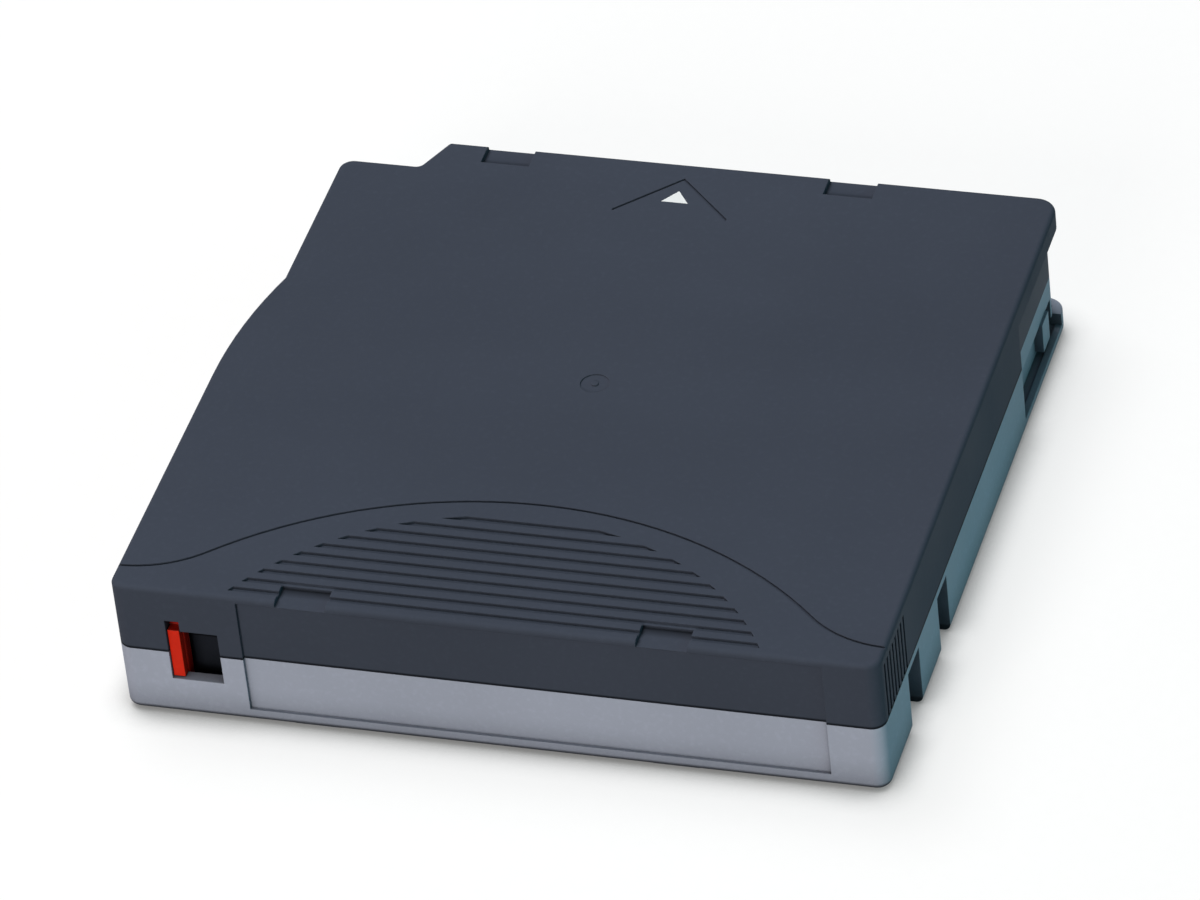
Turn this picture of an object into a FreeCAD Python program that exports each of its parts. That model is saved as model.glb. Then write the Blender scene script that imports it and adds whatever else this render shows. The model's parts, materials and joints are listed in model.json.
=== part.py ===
"""A half-inch data tape cartridge: two-part housing, sliding door, braked reel and leader pin.

Millimetres. +Z is up, +Y is the way the cartridge goes into a drive and +X is the door side. The origin
is on the surface that the cartridge rests on, under the middle of its outline.
"""
import FreeCAD, Part
import math
import operator
import os
from types import SimpleNamespace

import Sketcher

V = FreeCAD.Vector
NEAR = 1e-3  # two lengths closer than this are the same
STRAIGHT = None  # a side of an outline that isn't an arc
BITE = 0.2  # how far a rib runs into the wall that carries it
PAST = 1  # how far a cut runs past the surface it starts from
GRIP_GROOVES = 10
SIDE_GROOVES = 8

doc = FreeCAD.newDocument("cartridge")
volumes = {}  # each body's volume so far


# ---------------------------------------------------------------- driving dimensions

SIZES = [
    # housing
    ("width", 105.4, "across the label face"),
    ("depth", 102.0, "label face to insertion edge"),
    ("height", 21.5, "feet to top face"),
    ("foot", 0.4, "stacking feet below the underside"),
    ("parting", 10.9, "where the two halves meet"),
    ("wall", 1.7, "side wall"),
    ("skin", 1.6, "floor and ceiling"),
    ("corner_round", 2.0, "upright corners"),
    ("door_round", 3.0, "upright corner at the door"),
    ("nose_round", 1.0, "hollow corner beside the nose"),
    ("top_round", 0.7, "rim of the top face"),
    ("base_round", 1.0, "rim of the underside"),
    ("rib_radius", 48.4, "curved rib round the reel"),
    ("rib_thick", 1.0, "curved rib"),
    ("rib_start", 56.0, "curved rib's end beside the leader pin, from +X"),
    ("rib_turn", 262.0, "curved rib's length as a turn"),
    ("thin_rib", 0.8, "straight guide ribs"),
    ("thin_rib_high", 1.5, "straight guide ribs"),
    # insertion guide cut into the left front corner
    ("guide_in", 3.5, "flank set in from the left side"),
    ("bend_start", -5.0, "where the left side starts to bend in"),
    ("bend_radius", 74.0, "bend from the left side to the flank"),
    ("step_y", 45.0, "shoulder of the corner"),
    ("step_x", -37.9, "foot of the slanted nose"),
    ("nose_x", -35.2, "end of the slanted nose"),
    # screws, each with its place from the middle
    ("screw_window_x", -47.6, "screw beside the write-protect window"),
    ("screw_window_y", -42.8, "the same"),
    ("screw_memory_x", 47.6, "screw beside the memory board"),
    ("screw_memory_y", -46.0, "the same"),
    ("screw_pin_x", 36.5, "screw beside the leader pin"),
    ("screw_pin_y", 46.4, "the same"),
    ("screw_guide_x", -44.6, "screw beside the insertion guide"),
    ("screw_guide_y", 40.4, "the same"),
    ("boss", 3.2, "screw boss radius"),
    ("screw_hole", 1.1, "screw shank radius"),
    ("screw_head", 2.0, "screw head radius"),
    ("screw_high", 1.4, "screw head"),
    ("screw_sunk", 0.2, "screw heads above the underside"),
    ("screw_play", 0.1, "round a screw head"),
    ("screw_length", 13.5, "screw length under its head"),
    ("drive_half", 0.3, "half an arm's width of a cross drive"),
    ("drive_arm", 1.1, "cross drive's reach"),
    ("drive_deep", 0.8, "cross drive's depth"),
    # markings of the top face
    ("stack_x", 7.0, "stacking recess width"),
    ("stack_y", 4.0, "stacking recess depth from the edge"),
    ("stack_sink", 0.8, "stacking recess sunk"),
    ("stack_left", -26.0, "middle of the left recesses"),
    ("stack_right", 23.5, "middle of the right recesses"),
    ("stack_play", 0.3, "stacking foot in its recess"),
    ("arch_radius", 60.0, "middle of the arched line"),
    ("arch_peak", 25.7, "arched line's peak, from the label face"),
    ("arch_foot", 4.5, "arched line's ends, from the label face"),
    ("line_width", 0.4, "engraved lines"),
    ("line_sink", 0.25, "engraved lines' depth"),
    ("grip_first", 21.6, "first grip groove, from the label face"),
    ("grip_pitch", 2.13, "between grip grooves"),
    ("grip_width", 0.9, "grip groove across"),
    ("grip_sink", 0.35, "grip groove depth"),
    ("grip_radius", 42.0, "arch that ends the grip grooves"),
    ("grip_peak", 22.6, "its peak, from the label face"),
    ("chevron_tip", 3.4, "chevron tip from the insertion edge"),
    ("chevron_x", 8.2, "chevron half width"),
    ("chevron_line", 0.5, "chevron's line, along the cartridge"),
    ("dimple", 2.0, "moulding gate dimple radius"),
    ("dimple_point", 0.5, "point left standing in it"),
    ("dimple_sink", 0.15, "moulding gate dimple depth"),
    # label recess and write-protect window in the label face
    ("label_left", -35.0, "label recess left end"),
    ("label_right", 45.0, "label recess right end"),
    ("label_low", 2.4, "label recess bottom"),
    ("label_high", 20.6, "label recess top"),
    ("label_sink", 0.5, "label recess depth"),
    ("window_left", -45.4, "window left end"),
    ("window_right", -38.2, "window right end"),
    ("window_low", 6.4, "window bottom"),
    ("window_high", 14.7, "window top"),
    ("window_peak", 16.3, "window top over the tab's rib"),
    ("window_peak_width", 2.0, "raised part of the window"),
    # side grips and handling notches
    ("ridge_start", 2.6, "first side grip groove, from the label face"),
    ("ridge_pitch", 1.4, "between side grip grooves"),
    ("ridge_width", 0.6, "side grip groove across"),
    ("ridge_sink", 0.35, "side grip groove depth"),
    ("notch_sink", 2.0, "handling notch depth"),
    ("notch_top", 9.9, "handling notch top"),
    ("notch_wall", 1.0, "wall beside a handling notch"),
    ("notch_back", 2.2, "wall behind a handling notch"),
    ("rear_notch_start", -38.3, "handling notch nearer the label face"),
    ("rear_notch_end", -32.6, "the same"),
    ("fore_notch_start", -22.5, "handling notch farther from the label face"),
    ("fore_notch_end", -17.5, "the same"),
    # locating holes in the underside
    ("datum_x", 36.5, "locating holes from the middle"),
    ("datum_y", -40.5, "locating holes towards the label face"),
    ("datum_radius", 1.6, "locating hole"),
    ("datum_deep", 4.0, "locating hole depth"),
    ("datum_cap", 1.2, "closed end of a locating hole"),
    ("datum_boss", 3.2, "boss round a locating hole"),
    ("datum_shift", 0.6, "half of the locating slot's extra length"),
    ("datum_round", 1.61, "ends of the locating slot"),
    # door
    ("door_low", 2.3, "door bottom edge"),
    ("door_high", 19.6, "door top edge"),
    ("door_set_in", 1.1, "door face behind the side"),
    ("door_channel", 2.0, "channel face behind the side"),
    ("door_thick", 1.2, "door sheet"),
    ("door_back", 23.0, "door's rear end"),
    ("door_front", 46.3, "where the door starts to curl in"),
    ("door_curl", 3.6, "radius of the curled end"),
    ("door_step", 7.6, "top of the channel"),
    ("door_play", 0.3, "round the curled end"),
    ("lug_back", 40.0, "door lug's rear end"),
    ("lug_front", 43.5, "door lug's front end"),
    ("lug_low", 3.0, "door lug's bottom"),
    ("lug_set_in", 0.7, "door lug's face behind the side"),
    ("lug_play", 0.4, "above and below the lug"),
    ("lug_slot_back", 19.0, "rear end of the slot that takes the lug"),
    ("lug_slot_skin", 0.55, "side wall left outside the lug's slot"),
    ("slot_back", 3.0, "rear end of the slot that takes the door"),
    ("slot_in", 0.75, "how far that slot thins the side wall"),
    ("guide_play", 0.25, "door to its guide ribs"),
    ("guide_back", 4.0, "rear end of the door's guide ribs"),
    ("guide_front", 45.0, "front end of the door's guide ribs"),
    ("gate_back", 26.0, "rear edge of the door opening"),
    ("gate_front", 47.5, "front end of the side opening's full height"),
    ("gate_low", 2.2, "sill of the door opening"),
    ("gate_corner_low", 4.0, "sill at the front corner"),
    ("gate_high", 18.2, "lintel of the door opening"),
    ("gate_x", 46.9, "door opening's end in the front wall"),
    # door spring
    ("spring_x", 49.7, "door spring's axis"),
    ("spring_z", 11.0, "door spring's axis"),
    ("spring_radius", 0.95, "door spring"),
    ("spring_wire", 0.3, "door spring"),
    ("spring_turns", 10.0, "door spring"),
    ("spring_end", 21.0, "door spring's end at the door"),
    ("spring_block", 1.6, "half of the door's block for it"),
    ("spring_block_deep", 2.5, "the door's block for it"),
    # leader pin
    ("pin_x", 43.6, "leader pin axis"),
    ("pin_y", 44.2, "leader pin axis"),
    ("pin_radius", 1.15, "leader pin shank"),
    ("pin_end", 1.75, "leader pin collars"),
    ("collar_high", 1.2, "leader pin collars"),
    ("collar_cone", 0.5, "from a collar to the shank"),
    ("collar_bevel", 0.3, "bevel of the pin's ends"),
    ("seat_play", 0.1, "collar in its seat"),
    ("seat_wall", 1.1, "ring of the seat"),
    ("seat_high", 1.2, "ring of the seat"),
    ("seat_start", 75.0, "ring of the seat: first end, from +X"),
    ("seat_turn", 235.0, "ring of the seat: its length as a turn"),
    ("clip_radius", 1.95, "tape clip on the pin"),
    ("clip_mouth", 0.75, "half of the clip's mouth"),
    ("film", 0.12, "leader tape thickness"),
    ("leader_clear", 0.3, "leader tape from the turning pack"),
    # spring of the leader pin
    ("leaf", 0.35, "leaf thickness"),
    ("leaf_start", 40.4, "leaf's free end"),
    ("leaf_bend", 2.2, "outside of the leaf's bend, from the pin"),
    ("leaf_arm", 1.1, "height of the leaf's arms"),
    ("leaf_lift", 0.2, "arms from floor and ceiling"),
    ("leaf_press", 1.2, "half of the face that presses on the pin"),
    ("leaf_slant", 1.1, "slanted part of an arm, along the pin's side"),
    # reel
    ("reel_y", 1.0, "reel axis"),
    ("flange_radius", 47.6, "reel flanges"),
    ("flange_thick", 1.1, "reel flanges"),
    ("flange_low", 3.2, "underside of the lower flange"),
    ("flange_taper", 0.3, "how much thinner a flange is at its rim"),
    ("taper_start", 28.0, "where a flange starts to thin"),
    ("hub_bore", 5.0, "hole in the hub's floor"),
    ("pack_radius", 46.6, "wound tape"),
    ("tape_width", 12.65, "half-inch tape"),
    ("tape_side", 0.15, "tape edge to flange"),
    ("hub_radius", 22.0, "hub's outer wall"),
    ("hub_wall", 1.8, "hub's wall"),
    ("web_top", 4.8, "top of the hub's floor"),
    ("gear_inner", 13.8, "inside of both tooth rings"),
    ("gear_outer", 18.0, "outside of both tooth rings"),
    ("gear_low", 1.0, "drive teeth tips"),
    ("lock_high", 6.8, "locking teeth tips"),
    ("tooth_deep", 1.3, "tooth depth at the outside"),
    ("teeth", 60.0, "teeth in each ring"),
    ("bay_half", 4.4, "half of the gap between banks of locking teeth"),
    ("hatch_radius", 18.8, "hole in the floor for the drive gear"),
    ("hatch_lip", 1.6, "raised lip round that hole"),
    ("lip_clear", 0.1, "lip to the reel"),
    ("plate_outer", 11.5, "clutch plate"),
    ("plate_inner", 4.0, "clutch plate"),
    ("plate_thick", 0.8, "clutch plate"),
    # brake
    ("brake_gap", 0.15, "brake teeth over locking teeth at rest"),
    ("brake_radius", 18.3, "brake button"),
    ("brake_top", 9.7, "brake button plate"),
    ("brake_plate", 1.4, "brake button plate"),
    ("nose_tip", 1.5, "nose under the button, at its tip"),
    ("nose_base", 2.6, "nose under the button, at its foot"),
    ("nose_cone", 1.2, "tapered part of that nose"),
    ("nose_clear", 0.05, "nose over the release pad"),
    ("socket_radius", 6.5, "socket on the brake button"),
    ("socket_top", 15.0, "socket on the brake button"),
    ("socket_floor", 0.3, "socket's floor above the plate"),
    ("key_low", 11.0, "lower end of the housing's cross key"),
    ("key_thick", 1.2, "cross key"),
    ("key_span", 8.0, "cross key"),
    ("key_play", 0.25, "cross key in its slot"),
    ("coil_radius", 8.2, "brake spring"),
    ("coil_wire", 0.6, "brake spring"),
    ("coil_turns", 3.5, "brake spring"),
    ("coil_seat_gap", 0.8, "spring's seat in the ceiling, from the coil"),
    ("coil_seat", 1.0, "ring of that seat"),
    ("leg_radius", 1.5, "release pad legs"),
    ("leg_circle", 15.9, "release pad legs' circle"),
    ("leg_play", 0.3, "leg in its hole"),
    ("leg_low", 2.16, "leg ends at rest"),
    ("pad_low", 5.76, "underside of the release pad at rest"),
    ("pad_thick", 1.0, "release pad"),
    ("pad_radius", 5.5, "middle of the release pad"),
    ("arm_half", 1.9, "half an arm of the release pad"),
    ("arm_start", 3.0, "where an arm leaves the middle"),
    # write-protect tab
    ("tab_left", -50.6, "tab left end"),
    ("tab_width", 7.0, "tab"),
    ("tab_thick", 1.6, "tab"),
    ("tab_rib", 1.6, "finger rib of the tab"),
    ("tab_rib_set_in", 0.4, "finger rib behind the label face"),
    ("tab_play", 0.1, "tab to the walls round it"),
    ("tab_guide", 1.9, "tab's guide ribs, from the wall"),
    ("pocket_gap", 2.8, "partition behind the window, from the wall"),
    ("pocket_low", 4.2, "partition's lower end"),
    ("pocket_left", 1.2, "partition's start, from the window's left end"),
    ("pocket_right", 0.6, "partition's side, past the window's right end"),
    # memory
    ("board_x", 42.9, "memory board middle"),
    ("board_y", -43.1, "memory board middle"),
    ("board_long", 14.0, "memory board"),
    ("board_thick", 0.8, "memory board"),
    ("board_high", 10.0, "memory board"),
    ("chip_half", 1.6, "half the memory chip"),
    ("chip_low", 3.4, "memory chip above the floor"),
    ("chip_thick", 0.7, "memory chip"),
]


class Size:
    """A length with the sheet expression that gives it, so that a shape is drawn and bound at once."""

    def __init__(self, value, text):
        self.value = value
        self.text = text

    def __add__(self, other):
        return combined(self, other, operator.add, "+")

    def __radd__(self, other):
        return combined(other, self, operator.add, "+")

    def __sub__(self, other):
        return combined(self, other, operator.sub, "-")

    def __rsub__(self, other):
        return combined(other, self, operator.sub, "-")

    def __mul__(self, other):
        return combined(self, other, operator.mul, "*")

    def __rmul__(self, other):
        return combined(other, self, operator.mul, "*")

    def __truediv__(self, other):
        return combined(self, other, operator.truediv, "/")

    def __rtruediv__(self, other):
        return combined(other, self, operator.truediv, "/")

    def __neg__(self):
        return Size(-self.value, f"(-{self.text})")


def sized(number):
    """A plain number as a Size."""
    if isinstance(number, Size):
        return number
    return Size(float(number), f"({float(number)!r})")


def combined(first, second, act, sign):
    first, second = sized(first), sized(second)
    return Size(act(first.value, second.value), f"({first.text} {sign} {second.text})")


def root(size):
    return Size(math.sqrt(size.value), f"sqrt({size.text})")


def side(near, hypotenuse):
    """The third side of a right-angled triangle."""
    return root(hypotenuse * hypotenuse - near * near)


def on_circle(radius, angle):
    """The point at an angle from +X on a circle about the origin."""
    cosine = Size(math.cos(math.radians(angle.value)), f"cos({angle.text})")
    sine = Size(math.sin(math.radians(angle.value)), f"sin({angle.text})")
    return radius * cosine, radius * sine


def tangent(angle):
    return Size(math.tan(math.radians(angle.value)), f"tan({angle.text})")


def fill_sheet():
    """Writes the driving dimensions to the sheet and gives them back as named Sizes."""
    sheet = doc.addObject("Spreadsheet::Sheet", "sizes")
    found = {}
    for row, (alias, value, note) in enumerate(SIZES, 1):
        sheet.set(f"A{row}", alias)
        sheet.set(f"B{row}", str(value))
        sheet.set(f"C{row}", note)
        sheet.setAlias(f"B{row}", alias)
        found[alias] = Size(value, f"sizes.{alias}")
    doc.recompute()
    return SimpleNamespace(**found)


d = fill_sheet()

# levels and places that several pieces share
right = d.width / 2
left = -right
front = d.depth / 2
rear = -front
floor_top = d.foot + d.skin
ceiling = d.height - d.skin
flange_top = d.flange_low + d.flange_thick
tape_low = flange_top + d.tape_side
tape_high = tape_low + d.tape_width
upper_flange_low = tape_high + d.tape_side
upper_flange_top = upper_flange_low + d.flange_thick
hub_inner = d.hub_radius - d.hub_wall
half_tooth = 180 / d.teeth
brake_low = d.lock_high + d.brake_gap
rear_inner = rear + d.wall
side_inner = right - d.wall
slot_x = side_inner + d.slot_in
door_face = right - d.door_set_in
channel_face = right - d.door_channel
spring_start = d.fore_notch_end + d.notch_wall
screw_low = d.foot + d.screw_sunk
screw_spots = [
    (d.screw_window_x, d.screw_window_y),
    (d.screw_memory_x, d.screw_memory_y),
    (d.screw_pin_x, d.screw_pin_y),
    (d.screw_guide_x, d.screw_guide_y),
]
notches = ((d.rear_notch_start, d.rear_notch_end), (d.fore_notch_start, d.fore_notch_end))
sides = (sized(-1), sized(1))


# ---------------------------------------------------------------- drawing and building helpers

def bind(thing, prop, size):
    thing.setExpression(prop, sized(size).text)


def new_body(name):
    body = doc.addObject("PartDesign::Body", name)
    body.Label = name
    return body


def on_reel_axis(body):
    """Places a body that is modelled about the Z axis on the reel's axis."""
    bind(body, "Placement.Base.y", d.reel_y)


def at_the_pin(body):
    """Places a body that is modelled about the Z axis on the leader pin's axis."""
    bind(body, "Placement.Base.x", d.pin_x)
    bind(body, "Placement.Base.y", d.pin_y)


def sketch(body, name, offset=0, plane="XY_Plane"):
    """A sketch on one of the body's origin planes, moved along that plane's normal."""
    drawing = body.newObject("Sketcher::SketchObject", name)
    base = next(f for f in body.Origin.OriginFeatures if f.Role == plane)
    drawing.AttachmentSupport = [(base, "")]
    drawing.MapMode = "FlatFace"
    bind(drawing, "AttachmentOffset.Base.z", offset)
    return drawing


def arc_between(start, end, radius):
    """The short arc from start to end: its centre is to the left of the way there if radius is positive."""
    chord = end - start
    reach = math.sqrt(radius * radius - chord.Length ** 2 / 4) * math.copysign(1, radius)
    centre = (start + end) / 2 + V(-chord.y, chord.x, 0).normalize() * reach
    first, last = (start, end) if radius > 0 else (end, start)
    angles = [math.atan2(p.y - centre.y, p.x - centre.x) for p in (first, last)]
    return Part.ArcOfCircle(Part.Circle(centre, V(0, 0, 1), abs(radius)), *angles)


def loop(drawing, points):
    """Closes an outline through points (x, y) or (x, y, radius of the arc to the next point)."""
    spots = [(sized(x), sized(y)) for x, y, *_ in points]
    radii = [sized(rest[0]) if rest and rest[0] is not STRAIGHT else STRAIGHT for _, _, *rest in points]
    first = drawing.GeometryCount
    count = len(points)
    starts = []
    for number, radius in enumerate(radii):
        a, b = (V(x.value, y.value, 0) for x, y in (spots[number], spots[(number + 1) % count]))
        if radius is STRAIGHT:
            drawing.addGeometry(Part.LineSegment(a, b), False)
        else:
            drawing.addGeometry(arc_between(a, b, radius.value), False)
        clockwise = radius is not STRAIGHT and radius.value < 0
        starts.append(2 if clockwise else 1)
    for number, (x, y) in enumerate(spots):
        before = (number - 1) % count
        drawing.addConstraint(Sketcher.Constraint(
            "Coincident", first + before, 3 - starts[before], first + number, starts[number]))
        for kind, size in (("DistanceX", x), ("DistanceY", y)):
            held = drawing.addConstraint(Sketcher.Constraint(
                kind, -1, 1, first + number, starts[number], size.value))
            bind(drawing, f"Constraints[{held}]", size)
        if radii[number] is not STRAIGHT:
            size = radii[number] if radii[number].value > 0 else -radii[number]
            held = drawing.addConstraint(Sketcher.Constraint("Radius", first + number, size.value))
            bind(drawing, f"Constraints[{held}]", size)
    return drawing


def box(drawing, x1, y1, x2, y2):
    return loop(drawing, [(x1, y1), (x2, y1), (x2, y2), (x1, y2)])


def disc(drawing, radius, x=0, y=0):
    x, y, radius = sized(x), sized(y), sized(radius)
    circle = drawing.addGeometry(Part.Circle(V(x.value, y.value, 0), V(0, 0, 1), radius.value), False)
    places = ((("DistanceX", -1, 1, circle, 3), x), (("DistanceY", -1, 1, circle, 3), y),
              (("Radius", circle), radius))
    for described, size in places:
        held = drawing.addConstraint(Sketcher.Constraint(*described, size.value))
        bind(drawing, f"Constraints[{held}]", size)
    return drawing


def ring(drawing, inner, thick, x=0, y=0):
    disc(drawing, inner, x, y)
    return disc(drawing, inner + thick, x, y)


def open_ring(drawing, inner, thick, middle, start, turn, arcs):
    """Closes a ring that runs from an angle through a turn: each rim is drawn as so many arcs."""
    x, y = middle
    outer = inner + thick
    points = []
    for radius, bend, order in ((outer, outer, range(arcs + 1)), (inner, -inner, range(arcs, -1, -1))):
        for number in order:
            along_x, along_y = on_circle(radius, start + turn * number / arcs)
            points.append((x + along_x, y + along_y, STRAIGHT if number == order[-1] else bend))
    return loop(drawing, points)


def cross(drawing, x, y, half, arm):
    """Closes an outline with four like arms."""
    return loop(drawing, [
        (x - half, y - arm), (x + half, y - arm), (x + half, y - half), (x + arm, y - half),
        (x + arm, y + half), (x + half, y + half), (x + half, y + arm), (x - half, y + arm),
        (x - half, y + half), (x - arm, y + half), (x - arm, y - half), (x - half, y - half),
    ])


def finished(body, feature, way):
    """Recomputes, and raises if the feature failed or did not add (way 1) or remove (way -1) material."""
    body.Tip = feature
    doc.recompute()
    before = volumes.get(body.Name, 0)
    gained = 0 if feature.Shape.isNull() else feature.Shape.Volume - before
    if {"Invalid", "Error"} & set(feature.State) or gained * way <= 0:
        raise RuntimeError(f"{body.Label}.{feature.Name}: {feature.State}, volume changed by {gained:.4f}")
    volumes[body.Name] = before + gained
    return feature


def extrude(body, kind, name, drawing, length, back):
    feature = body.newObject(f"PartDesign::{kind}", name)
    feature.Profile = drawing
    bind(feature, "Length", length)
    feature.Reversed = back
    return finished(body, feature, -1 if kind == "Pocket" else 1)


def pad(body, name, drawing, length, back=False):
    """Adds along the sketch's normal, or against it."""
    return extrude(body, "Pad", name, drawing, length, back)


def pocket(body, name, drawing, length, back=True):
    """Cuts along the sketch's normal, or against it when back is false."""
    return extrude(body, "Pocket", name, drawing, length, back)


def revolve(body, name, profile):
    """Turns an outline of (radius, z) points about the Z axis, all the way round."""
    drawing = loop(sketch(body, name + "_profile", 0, "XZ_Plane"), profile)
    feature = body.newObject("PartDesign::Revolution", name)
    feature.Profile = drawing
    feature.ReferenceAxis = (drawing, ["V_Axis"])
    feature.Angle = 360
    return finished(body, feature, 1)


def repeat_round(body, name, feature, count):
    """Repeats a feature evenly about the Z axis."""
    pattern = body.newObject("PartDesign::PolarPattern", name)
    pattern.Originals = [feature]
    pattern.Axis = (next(f for f in body.Origin.OriginFeatures if f.Role == "Z_Axis"), [""])
    pattern.Angle = 360
    bind(pattern, "Occurrences", count)
    return finished(body, pattern, 1 if feature.TypeId.endswith("Pad") else -1)


def rounded(body, name, radius, chosen, way=-1):
    """Rounds the edges of the body for which chosen(edge) is true: way 1 fills a hollow corner."""
    base = body.Tip
    names = [f"Edge{n}" for n, edge in enumerate(base.Shape.Edges, 1) if chosen(edge)]
    if not names:
        raise RuntimeError(f"{body.Label}.{name}: no edge to round")
    feature = body.newObject("PartDesign::Fillet", name)
    feature.Base = (base, names)
    bind(feature, "Radius", radius)
    return finished(body, feature, way)


def uprights_at(places):
    """Chooses the upright edges at the places."""
    spots = [(x.value, y.value) for x, y, *_ in places]

    def chosen(edge):
        bound = edge.BoundBox
        upright = max(bound.XLength, bound.YLength) < NEAR
        return upright and any(math.hypot(bound.XMin - x, bound.YMin - y) < NEAR for x, y in spots)

    return chosen


def level_at(z):
    """Chooses every edge that lies at a height."""
    return lambda edge: max(abs(edge.BoundBox.ZMin - z.value), abs(edge.BoundBox.ZMax - z.value)) < NEAR


# ---------------------------------------------------------------- what both housing halves share

def outline(inset):
    """The cartridge's plan, set in by a wall: a rectangle whose left front corner is an insertion guide."""
    radius = d.bend_radius - inset
    flank = left + d.guide_in + inset
    bend_end = d.bend_start + side(radius - d.guide_in, radius)
    run, rise = d.nose_x - d.step_x, front - d.step_y
    lean = (root(run * run + rise * rise) - run) / rise * inset
    return [
        (left + inset, rear + inset),
        (right - inset, rear + inset),
        (right - inset, front - inset),
        (d.nose_x + lean, front - inset),
        (d.step_x + lean, d.step_y - inset),
        (flank, d.step_y - inset),
        (flank, bend_end, radius),
        (left + inset, d.bend_start),
    ]


def housing_half(name, low, high, rim, rim_round):
    """The solid block of one half, with its upright corners and its outer rim rounded."""
    body = new_body(name)
    corners = outline(sized(0))
    pad(body, "block", loop(sketch(body, "plan", low), corners), high - low)
    rounded(body, "square_corners", d.corner_round, uprights_at([*corners[:2], corners[5]]))
    rounded(body, "door_corner", d.door_round, uprights_at([corners[2]]))
    rounded(body, "nose_corner", d.top_round, uprights_at([corners[3]]))
    rounded(body, "hollow_corner", d.nose_round, uprights_at([corners[4]]), 1)
    rounded(body, "rim", rim_round, level_at(rim))
    return body


def hollow(body, low, high, blocks):
    """Hollows a half and stands the rib round the reel, the screw bosses and plain blocks in it."""
    pocket(body, "cavity", loop(sketch(body, "cavity_plan", low), outline(d.wall)), high - low)
    inner = sketch(body, "inner_plan", low)
    open_ring(inner, d.rib_radius, d.rib_thick, (sized(0), d.reel_y), d.rib_start, d.rib_turn, 3)
    for x, y in screw_spots:
        disc(inner, d.boss, x, y)
    for corners in blocks:
        box(inner, *corners)
    pad(body, "inner_walls", inner, high - low)


def at_screws(body, name, radius, low, high):
    """A sketch at one level with a disc for each screw, and the height from there to another level."""
    drawing = sketch(body, name + "_plan", low)
    for x, y in screw_spots:
        disc(drawing, radius, x, y)
    return name, drawing, high - low


def pin_seat(body, low):
    """The ring that an end of the leader pin stands in, open towards the door."""
    plan = sketch(body, "pin_seat_plan", low)
    middle = (d.pin_x, d.pin_y)
    open_ring(plan, d.pin_end + d.seat_play, d.seat_wall, middle, d.seat_start, d.seat_turn, 2)
    pad(body, "pin_seat", plan, d.seat_high)


def guides(body, low, door_rib_x, tab_rib_end):
    """Low ribs that keep the door and the write-protect tab in their ways."""
    plan = sketch(body, "guides_plan", low)
    box(plan, door_rib_x - d.thin_rib, d.guide_back, door_rib_x, d.guide_front)
    near = rear_inner + d.tab_guide
    box(plan, d.tab_left, near, tab_rib_end, near + d.thin_rib)
    pad(body, "guides", plan, d.thin_rib_high)


def block(body, name, x1, y1, z1, x2, y2, z2):
    """Adds a plain rectangular rib or stop."""
    return pad(body, name, box(sketch(body, name + "_plan", z1), x1, y1, x2, y2), z2 - z1)


def gap(body, name, x1, y1, z1, x2, y2, z2):
    """Cuts a plain rectangular gap."""
    pocket(body, name, box(sketch(body, name + "_plan", z1), x1, y1, x2, y2), z2 - z1)


def face_gap(body, name, points, deep):
    """Cuts an outline of (x, z) points into the label face."""
    pocket(body, name, loop(sketch(body, name + "_plan", -rear, "XZ_Plane"), points), deep, back=False)


def label_recess(body, low, high):
    corners = [(d.label_left, low), (d.label_right, low), (d.label_right, high), (d.label_left, high)]
    face_gap(body, "label_recess", corners, d.label_sink)


# ---------------------------------------------------------------- lower half

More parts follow.
